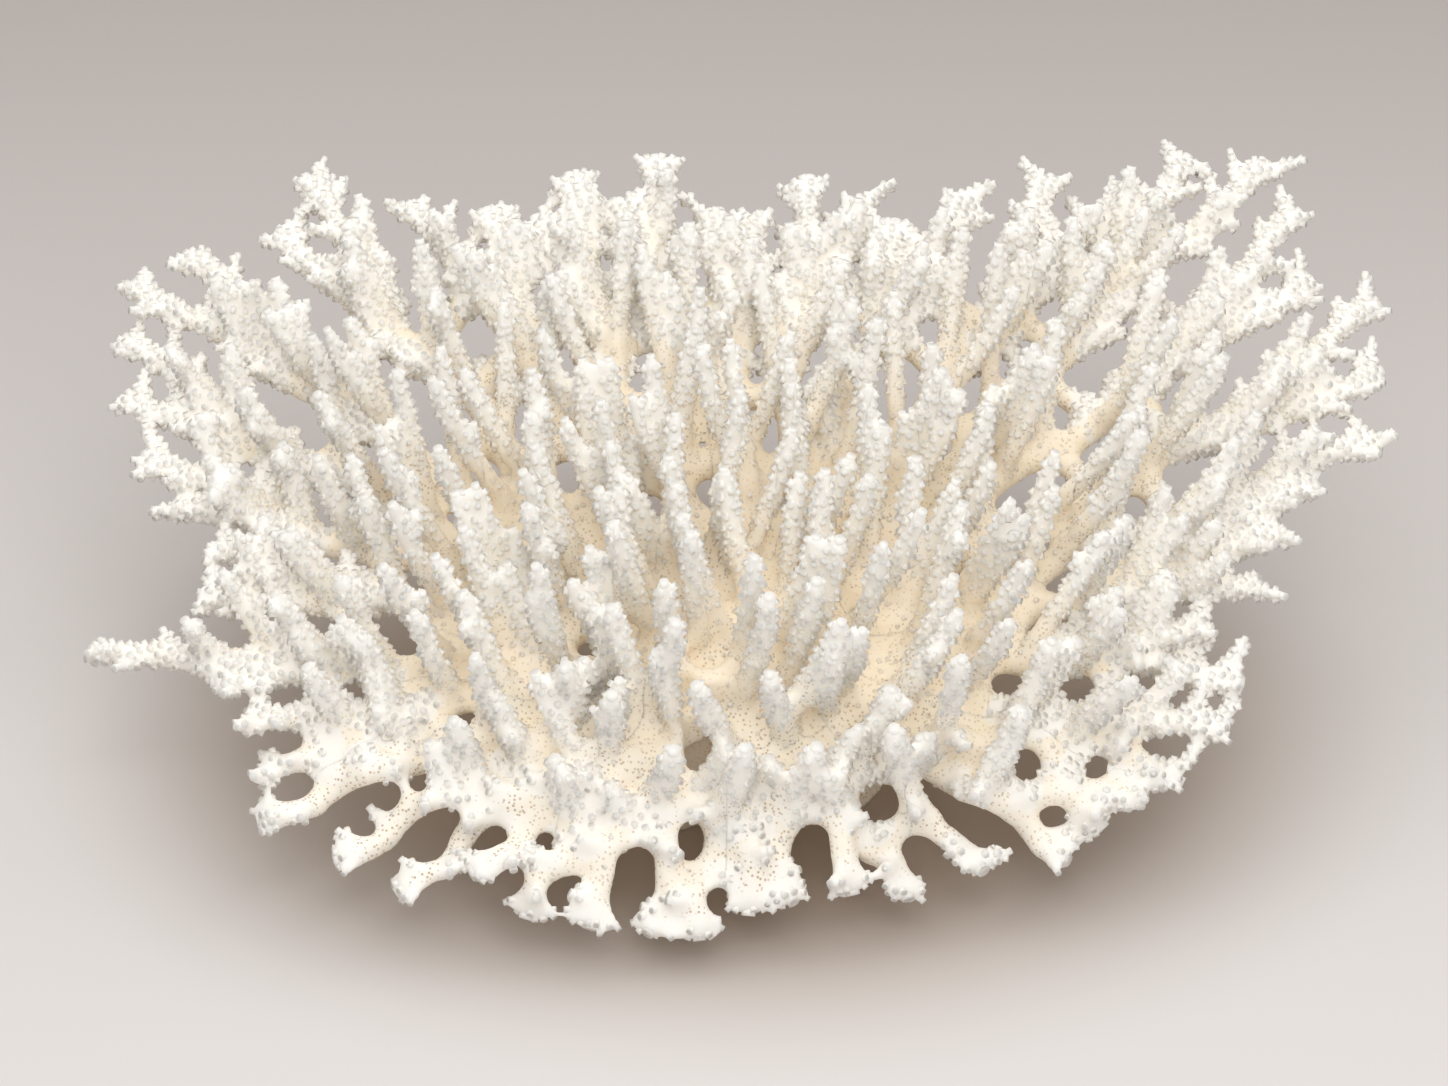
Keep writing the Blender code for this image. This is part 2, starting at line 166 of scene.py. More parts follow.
@dataclass(frozen=True)
class Strand:
    """The way from the crown to one tip, or to the middle of a limb's tips."""

    bough: Bough
    limb: Limb
    tip: tuple[float, ...]
    fork_reach: float = 42 * MM
    fork_share: float = 0.36
    part_reach: float = 68 * MM
    part_share: float = 0.62
    limb_fork_share: float = 0.58
    rise_power: float = 1.5
    sway: float = 3.2 * MM
    root_radius: float = 5.9 * MM
    tip_radius: float = 2.9 * MM
    fan_radius: float = 4.7 * MM
    fan_tip_radius: float = 3.5 * MM
    weave: float = 3.6 * MM
    weave_length: float = 25 * MM
    weave_height: float = 4.6 * MM

    def fork_reaches(self) -> tuple[float, float]:
        """How far out the bough forks and how far out its limbs have parted."""
        reach = mean([tip for limb in self.bough for tip in limb])[1] * MM
        return min(self.fork_reach, self.fork_share * reach), min(self.part_reach, self.part_share * reach)

    def limb_fork(self) -> float:
        """How far out the limb forks into its two tips."""
        return self.limb_fork_share * mean(self.limb)[1] * MM

    def point(self, reach: float) -> Vector:
        """The strand's middle at a plan distance from the crown."""
        if self.bough in FANS:
            return self._woven_point(reach)
        fork, part = self.fork_reaches()
        stage_1 = smooth((reach - fork) / (part - fork))
        whole = mean([tip for limb in self.bough for tip in limb])
        goal = mix(whole, mean(self.limb), stage_1)
        stage_2 = smooth((self.share(reach) - self.limb_fork_share) / (1 - self.limb_fork_share))
        bearing, length, height = mix(goal, self.tip, stage_2)
        rise = (height * MM - CROWN.z) * (reach / (length * MM)) ** self.rise_power
        phase = reach / MM / 9 + self.limb[0][0] * 1.7
        wave = math.sin(phase) * smooth(reach / self.part_reach) * (1 - stage_2)
        across = UP.cross(outward(bearing))
        return CROWN + outward(bearing) * reach + UP * rise + across * wave * self.sway

    def _woven_point(self, reach: float) -> Vector:
        """The middle of a strand of the front, which meets and parts from its neighbours by turns."""
        bearing, length, height = self.tip
        number = FAN_TIPS.index(self.tip)
        rise = (height * MM - CROWN.z) * (reach / (length * MM)) ** self.rise_power
        grown = smooth((reach - 20 * MM) / (25 * MM)) * (1 - smooth((self.share(reach) - 0.8) / 0.2))
        turn = 2 * math.pi * reach / self.weave_length + 0.5 * number
        aside = math.cos(turn + math.pi * number)
        across = UP.cross(outward(bearing)) * aside * min(0.045 * reach, self.weave)
        over = UP * math.sin(turn * 0.8 + 2.4 * number) * self.weave_height
        return CROWN + outward(bearing) * reach + UP * rise + (across + over) * grown

    def radius(self, reach: float) -> float:
        """The strand's radius at a plan distance from the crown."""
        share = min(1.0, self.share(reach))
        if self.bough in FANS:
            return self.fan_radius + (self.fan_tip_radius - self.fan_radius) * share
        return self.root_radius + (self.tip_radius - self.root_radius) * share

    def share(self, reach: float) -> float:
        """How much of its way to the tip the strand has gone at a distance."""
        return reach / (self.tip[1] * MM)


@dataclass
class Growth:
    """Every stretch of the colony above its stalk: strands first, then what stands on them."""

    knot_step: float = 7 * MM
    finger_step: float = 7.5 * MM
    finger_radius: float = 3.1 * MM
    finger_end_radius: float = 2.4 * MM
    finger_long: float = 46 * MM
    finger_short: float = 33 * MM
    finger_short_at_y: float = -95 * MM
    finger_long_at_y: float = 0.0
    finger_first: float = 24 * MM
    finger_last_share: float = 0.86
    finger_stray: float = 3 * MM
    finger_stretch: tuple[float, float] = (0.8, 1.12)
    finger_bend_share: float = 0.55
    bud_share: float = 0.45
    curve_steps: int = 5
    front_from_y: float = -35 * MM
    front_depth: float = 40 * MM
    front_thicker: float = 0.3
    tip_short_of: float = 3 * MM
    twig_step: float = 9 * MM
    twig_length: float = 15 * MM
    twig_radius: float = 2.15 * MM
    twig_first_share: float = 0.56
    knobs: tuple[tuple[float, float, float], ...] = ((-15, -14, 8), (-7, -18, 7), (1, -14, 9))
    knob_radius: float = 4.0 * MM
    bridge_radius: float = 3.7 * MM
    bridge_share: float = 0.84
    bridge_reaches: tuple[float, ...] = tuple(reach * MM for reach in (44, 60, 79, 103, 131))
    hub_rings: tuple[tuple[int, float], ...] = ((5, 0.32), (11, 0.62), (16, 0.92))
    hole: Vector = field(default_factory=lambda: CROWN + Vector((-7.0, -29.0, 0.0)) * MM)
    hole_radius: float = 8 * MM
    least_apart: float = 8 * MM
    tubes: list[Tube] = field(default_factory=list)
    minors: list[tuple[Strand, float, int]] = field(default_factory=list)
    roots: list[Vector] = field(default_factory=list)

    def grow(self) -> None:
        """Grow every bough with its limbs, fingers, twigs and bridges."""
        for bough in BOUGHS.values():
            self._grow_bough(bough)
        for strand, reach, side in self.minors:
            if self._clear(strand.point(reach)):
                self._grow_finger(strand, reach, side, minor=True)
        for gap in range(len(LIMBS)):
            self._grow_bridges(gap)
        self._grow_hub_fingers()
        for place in self.knobs:
            root = CROWN + Vector(place) * MM
            course = [root - UP * 8 * MM, root + Vector((0.0, -1.0, 2.0)) * MM]
            self.tubes.append(Tube(Kind.TWIG, course, [self.knob_radius] * 2))
        LOG.info("grew %d stretches", len(self.tubes))

    def finger_length(self, root: Vector) -> float:
        """How long fingers are at a place: short in front and long at the back."""
        depth = (root.y - self.finger_short_at_y) / (self.finger_long_at_y - self.finger_short_at_y)
        return self.finger_short + (self.finger_long - self.finger_short) * smooth(depth)

    def _clear(self, root: Vector) -> bool:
        """Whether no finger stands too near a root."""
        return all((root - other).length > self.least_apart for other in self.roots)

    def _front(self, root: Vector) -> float:
        """How far in front a place is, from 0 to 1."""
        return smooth((self.front_from_y - root.y) / self.front_depth)

    def _grow_bough(self, bough: Bough) -> None:
        """Grow one bough from the crown to all of its tips."""
        if bough in FANS:
            for number, (limb, tip) in enumerate((limb, tip) for limb in bough for tip in limb):
                last = tip[1] * MM - self.tip_short_of
                self._grow_strand(Strand(bough, limb, tip), 0.0, last, ends=True, turn=number % 2)
            return
        trunk = Strand(bough, bough[0], mean([mean(limb) for limb in bough]))
        fork = trunk.fork_reaches()[0]
        self._grow_strand(trunk, 0.0, fork)
        for limb in bough:
            middle = Strand(bough, limb, mean(limb))
            limb_fork = max(middle.limb_fork(), fork + 6 * MM)
            self._grow_strand(middle, fork, limb_fork)
            for tip in limb:
                last = tip[1] * MM - self.tip_short_of
                self._grow_strand(Strand(bough, limb, tip), limb_fork, last, ends=True)

    def _grow_strand(
        self, strand: Strand, first: float, last: float, ends: bool = False, turn: int | None = None
    ) -> None:
        """Grow a strand between two distances from the crown, with what stands on it.

        Args:
            strand: The strand.
            first: The distance where this stretch starts.
            last: The distance where it stops.
            ends: Whether it stops in a tip.
            turn: Which of every two places has fingers, 0 or 1, or None for both.
        """
        count = max(2, round((last - first) / self.knot_step))
        reaches = [first + (last - first) * i / count for i in range(count + 1)]
        radii = [strand.radius(reach) for reach in reaches]
        points = [strand.point(reach) for reach in reaches]
        self.tubes.append(Tube(Kind.STRAND, points, radii, ends))
        if ends:
            self._grow_tip_fork(points[-2], points[-1])
        for number in self._steps(max(first, self.finger_first), last, self.finger_step):
            stray = math.sin(2.1 * number + strand.tip[0]) * self.finger_stray if number % 2 else 0.0
            reach = min(last, number * self.finger_step + stray)
            last_share = self.finger_last_share - 0.12 * self._front(strand.point(reach))
            if strand.share(reach) < last_share and turn in (None, (number // 2) % 2):
                side = 1 if (number // 2) % 2 else -1
                if number % 2:
                    self.minors.append((strand, reach, side))
                else:
                    self._grow_finger(strand, reach, side, minor=False)
        for number in self._steps(first, last, self.twig_step):
            reach = number * self.twig_step
            if strand.share(reach) > self.twig_first_share:
                side = 1 if (number // 2) % 2 else -1
                self._grow_twig(strand.point(reach), side if number % 2 == 0 else -side)

    @staticmethod
    def _steps(first: float, last: float, step: float) -> Iterator[int]:
        """The whole numbers of steps that lie from first up to last."""
        return iter(range(math.ceil(first / step), math.ceil(last / step)))

    def _grow_finger(self, strand: Strand, reach: float, side: int, minor: bool) -> None:
        """Grow an upright finger, which leans out more the further out it stands.

        Args:
            strand: The strand that it stands on.
            reach: Its distance from the crown.
            side: The side that it leans to, 1 or -1.
            minor: Whether it is one of the shorter ones between the main fingers.
        """
        root = strand.point(reach)
        share = strand.share(reach)
        front = self._front(root)
        dice = random.Random(f"finger {root.x:.3f} {root.y:.3f}")
        shorter = (0.6 - 0.2 * front) * smooth((share - 0.45) / 0.45)
        length = self.finger_length(root) * dice.uniform(*self.finger_stretch) * (1 - shorter)
        steep = 10 + (50 if root.z < CROWN.z - 4 * MM else 32) * share
        lean = steep + (6 + 8 * share - steep) * front + dice.uniform(-8, 8)
        spread = dice.uniform(0.05, 0.4)
        if minor:
            length *= dice.uniform(0.5, 0.9)
            side, spread = -side, spread + 0.25
        wide = (1 + self.front_thicker * front) * (0.88 if minor else 1.0)
        radii = (self.finger_radius * wide, self.finger_end_radius * wide)
        middle, end = self._raise_finger(root, bearing_of(root), length, lean, side, spread, radii)
        if length > 16 * MM and dice.random() < self.bud_share:
            self._grow_bud(middle, end, dice)

    def _raise_finger(
        self,
        root: Vector,
        bearing: float,
        length: float,
        lean: float,
        side: int,
        spread: float,
        radii: tuple[float, float],
    ) -> tuple[Vector, Vector]:
        """Raise a finger that leans out from the crown and to one side.

        Args:
            root: Where it stands.
            bearing: The bearing that it leans to.
            length: Its length.
            lean: How many degrees it leans outward.
            side: The side that it leans to, 1 or -1.
            spread: How far it leans to that side.
            radii: Its radius at its foot and at its end.

        Returns:
            Its middle and its end.
        """
        self.roots.append(root)
        tilt = math.radians(lean)
        across = UP.cross(outward(bearing))
        way = UP * math.cos(tilt) + outward(bearing) * math.sin(tilt) + across * side * spread
        middle = root + way * length * self.finger_bend_share + across * side * 1.5 * MM
        end = middle + (way + UP * 0.25).normalized() * length * (1 - self.finger_bend_share)
        self._add_curved(Kind.FINGER, root, middle, end, radii)
        return middle, end

    def _add_curved(
        self, kind: Kind, root: Vector, middle: Vector, end: Vector, radii: tuple[float, float]
    ) -> None:
        """Add a tube that bends smoothly through a middle point."""
        control = middle * 2 - (root + end) / 2
        shares = [i / self.curve_steps for i in range(self.curve_steps + 1)]
        points = [root * (1 - t) ** 2 + control * 2 * t * (1 - t) + end * t * t for t in shares]
        widths = [radii[0] + (radii[1] - radii[0]) * t * t for t in shares]
        self.tubes.append(Tube(kind, points, widths, tip=True))

    def _grow_tip_fork(self, before: Vector, end: Vector) -> None:
        """Grow a few short points at the end of a strand, more of them in front."""
        dice = random.Random(f"fork {end.x:.3f} {end.y:.3f}")
        wide = self.twig_radius * (1 - 0.1 * self._front(end))
        way = (end - before).normalized()
        across = UP.cross(way).normalized()
        root = end - way * 7 * MM
        sides = (-1.5, 1.5, 0, -0.7, 0.7) if self._front(end) > 0.5 else (-1, 1, 0)
        for side in sides[: len(sides) - dice.choice((0, 0, 1))]:
            turn = across * side * dice.uniform(0.45, 0.8) + UP * dice.uniform(-0.15, 0.3)
            length = dice.uniform(8, 11) * MM if side else dice.uniform(7, 9) * MM
            goal = root + (way + turn).normalized() * length
            bend = (root + goal) / 2 + way * 0.5 * MM
            self._add_curved(Kind.TWIG, root, bend, goal, (wide, wide * 0.85))

    def _grow_bud(self, middle: Vector, end: Vector, dice: random.Random) -> None:
        """Grow a short bud from the upper half of a finger."""
        way = (end - middle).normalized()
        root = middle.lerp(end, dice.uniform(-0.2, 0.5))
        aside = Matrix.Rotation(dice.uniform(0, 6.28), 3, way) @ way.orthogonal().normalized()
        goal = root + (way * 0.8 + aside * 0.6).normalized() * dice.uniform(6.5, 10) * MM
        bend = (root + goal) / 2 + aside * 0.7 * MM
        self._add_curved(Kind.TWIG, root, bend, goal, (self.twig_radius, self.twig_radius * 0.85))

    def _grow_twig(self, root: Vector, side: int) -> None:
        """Grow a short side twig near a tip."""
        dice = random.Random(f"twig {root.x:.3f} {root.y:.3f}")
        front = self._front(root)
        way = (outward(bearing_of(root) + 50 * side) + UP * dice.uniform(0.2, 0.6)).normalized()
        end = root + way * self.twig_length * dice.uniform(0.75, 1.05) * (1 - 0.35 * front)
        bend = (root + end) / 2 + outward(bearing_of(root)) * 0.8 * MM
        wide = self.twig_radius * (1 + 0.1 * front)
        self._add_curved(Kind.TWIG, root, bend, end, (wide, wide * 0.9))

    def _grow_bridges(self, gap: int) -> None:
        """Grow the bridges across the gap before a limb."""
        before, after = gap_strands(gap)
        dice = random.Random(gap % len(LIMBS))
        slant = random.Random(f"slant {gap}")
        for middle in self.bridge_reaches:
            reach = middle * dice.uniform(0.93, 1.07)
            if reach >= self.bridge_share * min(before.tip[1], after.tip[1]) * MM:
                continue
            goal = CROWN + outward(gap_bearing(gap)) * reach
            goal.z = (before.point(reach).z + after.point(reach).z) / 2
            if (goal - self.hole).length > 2 * self.hole_radius:
                reaches = [reach + slant.uniform(-5, 5) * MM for _ in range(2)]
                first, last = before.point(reaches[0]), after.point(reaches[1])
                radii = [self.bridge_radius * wide for wide in (1.1, 1, 1.1)]
                self.tubes.append(Tube(Kind.BRIDGE, [first, goal, last], radii))

    def _grow_hub_fingers(self) -> None:
        """Grow the fingers that stand on the crown, clear of the hole in front."""
        for count, share in self.hub_rings:
            for number in range(count):
                bearing = 340 + 360 * number / count
                root = CROWN + outward(bearing) * HUB_RADIUS * share
                if (root - self.hole).length > self.hole_radius + 4 * MM and self._clear(root):
                    self._grow_hub_finger(root, bearing, 0.1)
        self._grow_hub_finger(CROWN.copy(), 90, 0.0)

    def _grow_hub_finger(self, root: Vector, bearing: float, share: float) -> None:
        """Grow one finger on the crown."""
        dice = random.Random(f"finger {root.x:.3f} {root.y:.3f}")
        length = self.finger_length(root) * dice.uniform(*self.finger_stretch)
        lean = 10 + 32 * share + dice.uniform(-8, 8)
        radii = (self.finger_radius * 1.12, self.finger_end_radius * 1.1)
        self._raise_finger(root, bearing, length, lean, 1, dice.uniform(0.05, 0.4), radii)


def gap_strands(gap: int) -> tuple[Strand, Strand]:
    """The strands on the two sides of the gap before a limb."""
    before, after = LIMBS[gap - 1], LIMBS[gap % len(LIMBS)]
    return Strand(*before, before[1][-1]), Strand(*after, after[1][0])


def gap_bearing(gap: int) -> float:
    """The bearing of the split in the middle of the gap before a limb."""
    before, after = gap_strands(gap)
    turn = -360 if gap == 0 else 0
    full = 360 if gap == len(LIMBS) else 0
    return (before.tip[0] + turn + after.tip[0] + full) / 2


def select_only(ob: bpy.types.Object) -> None:
    """Select and activate one object and nothing else."""
    bpy.ops.object.select_all(action="DESELECT")
    ob.select_set(True)
    bpy.context.view_layer.objects.active = ob


def apply_modifier(ob: bpy.types.Object, kind: str, **settings: object) -> None:
    """Add a modifier with its settings and apply it."""
    select_only(ob)
    bpy.ops.object.modifier_add(type=kind)
    modifier = ob.modifiers[-1]
    for name, value in settings.items():
        setattr(modifier, name, value)
    bpy.ops.object.modifier_apply(modifier=modifier.name)


@dataclass(frozen=True)
class Webbing:
    """How far the webs reach that fill the corners between stretches: further in front.

    Args:
        back: The reach at the back.
        front: The reach in front.
        back_y: Where it starts to grow.
        front_y: Where it is full.
    """

    back: float
    front: float
    back_y: float = -40 * MM
    front_y: float = -85 * MM

    def at(self, points: np.ndarray) -> np.ndarray:
        """The reach at each of an array of points."""
        share = ((points[:, 1] - self.back_y) / (self.front_y - self.back_y)).clip(0.0, 1.0)
        return self.back + (self.front - self.back) * share * share * (3 - 2 * share)


@dataclass
class Mass:
    """The coral's fused body, made of tubes that are webbed where they meet.

    Args:
        name: The name of its object.
        voxel: The size of its finest detail.
        net_web: How far the webs between strands reach.
        finger_web: How far the webs at the feet of fingers reach.
        lump_height: How high its lumps are.
        lump_size: How wide its lumps are.
        hole: The middle and radius of a hole that goes down through it.
    """

    name: str
    voxel: float = 1.25 * MM
    net_web: Webbing = Webbing(2.2 * MM, 1.8 * MM)
    finger_web: Webbing = Webbing(0.7 * MM, 1.0 * MM)
    lump_height: float = 1.1 * MM
    lump_size: float = 7 * MM
    hole: tuple[Vector, float] | None = None

    def build(self, tubes: list[Tube]) -> bpy.types.Object:
        """Fuse tubes into one body: the net of strands first, then what stands on it."""
        net_kinds = (Kind.STRAND, Kind.BRIDGE, Kind.ROOT)
        body = self._sweep([tube for tube in tubes if tube.kind in net_kinds], self.net_web)
        self._fuse(body)
        self._shrink(body, self.net_web, self.finger_web)
        standing = [tube for tube in tubes if tube.kind not in net_kinds]
        if standing:
            fingers = self._sweep(standing, self.finger_web)
            select_only(body)
            fingers.select_set(True)
            bpy.ops.object.join()
        self._fuse(body)
        self._shrink(body, self.finger_web, None)
        self._fuse(body)
        if self.hole:
            self._bore(body)
            self._fuse(body)
        apply_modifier(body, "SMOOTH", factor=0.5, iterations=3)
        self._roughen(body)
        LOG.info("%s has %d faces", self.name, len(body.data.polygons))
        return body

    def _sweep(self, tubes: list[Tube], web: Webbing) -> bpy.types.Object:
        """Sweep round closed tubes along their courses, all thicker by the reach of the webs."""
        bpy.ops.object.select_all(action="DESELECT")
        bpy.ops.curve.primitive_bezier_curve_add()
        ob = bpy.context.object
        ob.name = self.name
        curve = ob.data
        curve.splines.clear()
        curve.dimensions = "3D"
        curve.bevel_depth = 1.0
        curve.bevel_resolution = 2
        curve.use_fill_caps = True
        for tube in tubes:
            points, radii = tube.rounded()
            spline = curve.splines.new("POLY")
            spline.points.add(len(points) - 1)
            thicker = web.at(np.array(points))
            for knot, point, radius, extra in zip(spline.points, points, radii, thicker):
                knot.co = (*point, 1.0)
                knot.radius = radius + extra
        select_only(ob)
        bpy.ops.object.convert(target="MESH")
        return bpy.context.object

    def _fuse(self, ob: bpy.types.Object) -> None:
        """Remesh a body of overlapping pieces into one skin."""
        apply_modifier(ob, "REMESH", mode="VOXEL", voxel_size=self.voxel, use_smooth_shade=True)

    @staticmethod
    def _shrink(ob: bpy.types.Object, before: Webbing, after: Webbing | None) -> None:
        """Draw the skin in from one reach of the webs to a smaller one, which leaves the corners filled."""
        count = len(ob.data.vertices)
        points = np.empty(count * 3)
        normals = np.empty(count * 3)
        ob.data.vertices.foreach_get("co", points)
        ob.data.vertex_normals.foreach_get("vector", normals)
        points, normals = points.reshape(-1, 3), normals.reshape(-1, 3)
        depth = before.at(points) - (after.at(points) if after else 0.0)
        ob.data.vertices.foreach_set("co", (points - normals * depth[:, None]).ravel())
        ob.data.update()

    def _bore(self, ob: bpy.types.Object) -> None:
        """Cut an uneven hole down through the body."""
        middle, radius = self.hole
        bpy.ops.object.select_all(action="DESELECT")
        bpy.ops.mesh.primitive_cone_add(
            vertices=14, radius1=radius * 0.75, radius2=radius * 1.1, depth=50 * MM, location=middle
        )
        cutter = bpy.context.object
        bpy.ops.object.mode_set(mode="EDIT")
        bpy.ops.mesh.select_all(action="SELECT")
        bpy.ops.transform.vertex_random(offset=1.1 * MM, seed=4)
        bpy.ops.object.mode_set(mode="OBJECT")
        apply_modifier(ob, "BOOLEAN", object=cutter, operation="DIFFERENCE", solver="MANIFOLD")
        remove(cutter)

    def _roughen(self, ob: bpy.types.Object) -> None:
        """Raise low lumps on the skin."""
        lumps = bpy.data.textures.new(self.name + "_lumps", "CLOUDS")
        lumps.noise_scale = self.lump_size
        lumps.noise_depth = 2
        apply_modifier(ob, "DISPLACE", texture=lumps, strength=self.lump_height, mid_level=0.5)


@dataclass(frozen=True)
class Cell:
    """The room of one piece: what lies behind all of its planes.

    Args:
        node: The node of the piece's solid.
        planes: Its sides, as points and the directions that they cut off.
    """

    node: str
    planes: tuple[Split, ...]

    @staticmethod
    def behind(node: str, sides: Sequence[Split], gap: float = 0.02 * MM) -> Cell:
        """The cell behind some sides, each of which keeps half a gap to its neighbour."""
        return Cell(node, tuple((point - way * (gap / 2), way) for point, way in sides))


def wedge(first: float, last: float) -> list[Split]:
    """The two upright sides of the room between two bearings."""
    return [(CROWN, UP.cross(outward(bearing)) * turn) for bearing, turn in ((first, -1), (last, 1))]


def turned(split: Split) -> Split:
    """A split seen from its other side."""
    return split[0], -split[1]


def crown_splits() -> list[Split]:
    """The split between the crown and each bough, from the corner on one side of the bough to the other."""
    middles = [mean([mean(limb) for limb in bough])[0] for bough in BOUGHS.values()]
    corners = []
    gap = 0
    for number, bough in enumerate(BOUGHS.values()):
        bearing = gap_bearing(gap)
        turns = [math.radians(bearing - middle) for middle in (middles[number - 1], middles[number])]
        reach = mean([(HUB_RADIUS / math.cos(turn),) for turn in turns])[0]
        corners.append(CROWN + outward(bearing) * reach)
        gap += len(bough)
    sides = zip(corners, corners[1:] + corners[:1])
    return [(first, (second - first).normalized().cross(UP)) for first, second in sides]


def all_cells() -> list[Cell]:
    """The cell of every piece of the colony."""
    cells = []
    splits = crown_splits()
    gap = 0
    for (name, bough), inner in zip(BOUGHS.items(), splits):
        part = Strand(bough, bough[0], bough[0][0]).fork_reaches()[1]
        way = outward(mean([mean(limb) for limb in bough])[0])
        fork = (CROWN + way * part, way)
        room = [*wedge(gap_bearing(gap), gap_bearing(gap + len(bough))), turned(inner)]
        if name in WHOLE_BOUGHS:
            cells.append(Cell.behind(name, room))
        else:
            cells.append(Cell.behind(name, [*room, fork]))
            for number in range(len(bough)):
                sides = wedge(gap_bearing(gap + number), gap_bearing(gap + number + 1))
                cells.append(Cell.behind(f"{name}_limb_{number + 1}", [*sides, turned(fork)]))
        gap += len(bough)
    cells.append(Cell.behind("stem", splits))
    return cells


@dataclass
class Splitter:
    """Parts the fused body at the cells' sides, and closes each cut."""

    body: bpy.types.Object
    margin: float = 3 * MM
    points: np.ndarray = field(init=False)
    quads: np.ndarray = field(init=False)

    def __post_init__(self) -> None:
        """Read the body's points and faces once."""
        mesh = self.body.data
        self.points = np.empty(len(mesh.vertices) * 3)
        mesh.vertices.foreach_get("co", self.points)
        self.points = self.points.reshape(-1, 3)
        self.quads = np.empty(len(mesh.polygons) * 4, dtype=np.int64)
        mesh.polygons.foreach_get("vertices", self.quads)
        self.quads = self.quads.reshape(-1, 4)

    @staticmethod
    def inside(cell: Cell, points: np.ndarray, margin: float) -> np.ndarray:
        """Which points lie inside a cell's sides, or no further out than a margin."""
        keep = np.ones(len(points), dtype=bool)
        for point, normal in cell.planes:
            keep &= (points - np.array(point)) @ np.array(normal) < margin
        return keep

    def part(self, cell: Cell) -> bmesh.types.BMesh:
        """Cut one cell's part off the body and close it."""
        near = self.inside(cell, self.points, self.margin)
        quads = self.quads[near[self.quads].all(axis=1)]
        used, index = np.unique(quads, return_inverse=True)
        index = index.reshape(-1, 4)
        part = bmesh.new()
        verts = [part.verts.new(point) for point in self.points[used]]
        for quad in index:
            part.faces.new([verts[i] for i in quad])
        for plane in cell.planes:
            cut_off(part, plane)
        drop_crumbs(part)
        close_cuts(part, cell.planes)
        return part


def cut_off(body: bmesh.types.BMesh, plane: Split, slack: float = 1e-7) -> None:
    """Cut off what lies in front of a plane."""
    geometry = [*body.verts, *body.edges, *body.faces]
    bmesh.ops.bisect_plane(
        body, geom=geometry, dist=slack, plane_co=plane[0], plane_no=plane[1], clear_outer=True
    )


def close_cuts(body: bmesh.types.BMesh, planes: Sequence[Split], slack: float = 1e-6) -> None:
    """Close the cuts that planes have made with flat faces, which meet in a line where two cuts meet.

    Args:
        body: The cut body.
        planes: The planes, as points and the directions that were cut off.
        slack: How far from a plane a point still counts as on it.
    """
    rim = [edge for edge in body.edges if edge.is_boundary]
    ends = {vert for edge in rim for vert in edge.verts}
    flat = [{vert for vert in ends if abs((vert.co - spot).dot(way)) < slack} for spot, way in planes]
    cuts = [[edge for edge in rim if edge.verts[0] in cut and edge.verts[1] in cut] for cut in flat]
    for first, second in combinations(range(len(planes)), 2):
        corner = sorted(flat[first] & flat[second], key=lambda vert: vert.co.z)
        for low, high in zip(corner[::2], corner[1::2]):
            edge = body.edges.get((low, high)) or body.edges.new((low, high))
            cuts[first].append(edge)
            cuts[second].append(edge)
    for edges, (_, normal) in zip(cuts, planes):
        filled = bmesh.ops.triangle_fill(body, edges=edges, use_beauty=True, normal=normal)["geom"]
        for face in filled:
            if isinstance(face, bmesh.types.BMFace):
                face.normal_update()
                if face.normal.dot(normal) < 0:
                    face.normal_flip()
    left = [edge for edge in body.edges if edge.is_boundary]
    if left:
        LOG.info("%d edges are closed on their own", len(left))
        rest = bmesh.ops.holes_fill(body, edges=left, sides=0)["faces"]
        bmesh.ops.triangulate(body, faces=rest)
    loose = [edge for edge in body.edges if edge.is_wire]
    bmesh.ops.delete(body, geom=loose, context="EDGES")


def drop_crumbs(body: bmesh.types.BMesh, smallest: int = 10) -> None:
    """Drop islands with hardly any points."""
    left = set(body.verts)
    crumbs = []
    for seed in body.verts:
        if seed in left:
            left.remove(seed)
            island = [seed]
            for vert in island:
                fresh = [edge.other_vert(vert) for edge in vert.link_edges]
                fresh = [other for other in fresh if other in left]
                left.difference_update(fresh)
                island.extend(fresh)
            if len(island) < smallest:
                crumbs.extend(island)
    bmesh.ops.delete(body, geom=crumbs, context="VERTS")


@dataclass
class Stalk:
    """The fluted stalk that the colony was cut from, fused from the roots that it is made of."""

    cut_radius_x: float = 52 * MM
    cut_radius_y: float = 46 * MM
    roots: int = 9
    foot_radius: float = 15 * MM
    head_radius: float = 11 * MM

    def tubes(self) -> list[Tube]:
        """The roots round the stalk and the one in its middle."""
        tubes = []
        for number in range(self.roots):
            around = outward(360 * number / self.roots)
            reach_x = self.cut_radius_x - self.foot_radius
            reach_y = self.cut_radius_y - self.foot_radius
            foot = Vector((around.x * reach_x, around.y * reach_y, 0.0))
            head = CROWN + around * (HUB_RADIUS - 2 * self.head_radius) - UP * self.head_radius / 2
            points = [foot - UP * 8 * MM, foot.lerp(head, 0.5), head]
            tubes.append(Tube(Kind.ROOT, points, [self.foot_radius, 13 * MM, self.head_radius]))
        core = [Vector((0.0, 0.0, -8.0)) * MM, CROWN - UP * 3 * MM]
        tubes.append(Tube(Kind.ROOT, core, [30 * MM, 18 * MM]))
        return tubes

    def build(self) -> bmesh.types.BMesh:
        """Fuse the roots and cut them off flat at the bottom."""
        web = Webbing(0.7 * MM, 0.7 * MM)
        body = Mass("stalk", 1.8 * MM, web, web, lump_height=1.2 * MM, lump_size=9 * MM)
        ob = body.build(self.tubes())
        stalk = bmesh.new()
        stalk.from_mesh(ob.data)
        remove(ob)
        ground = (Vector(), -UP)
        cut_off(stalk, ground)
        close_cuts(stalk, [ground])
        return stalk


def remove(ob: bpy.types.Object) -> None:
    """Remove an object and its mesh."""
    mesh = ob.data
    bpy.data.objects.remove(ob)
    bpy.data.meshes.remove(mesh)


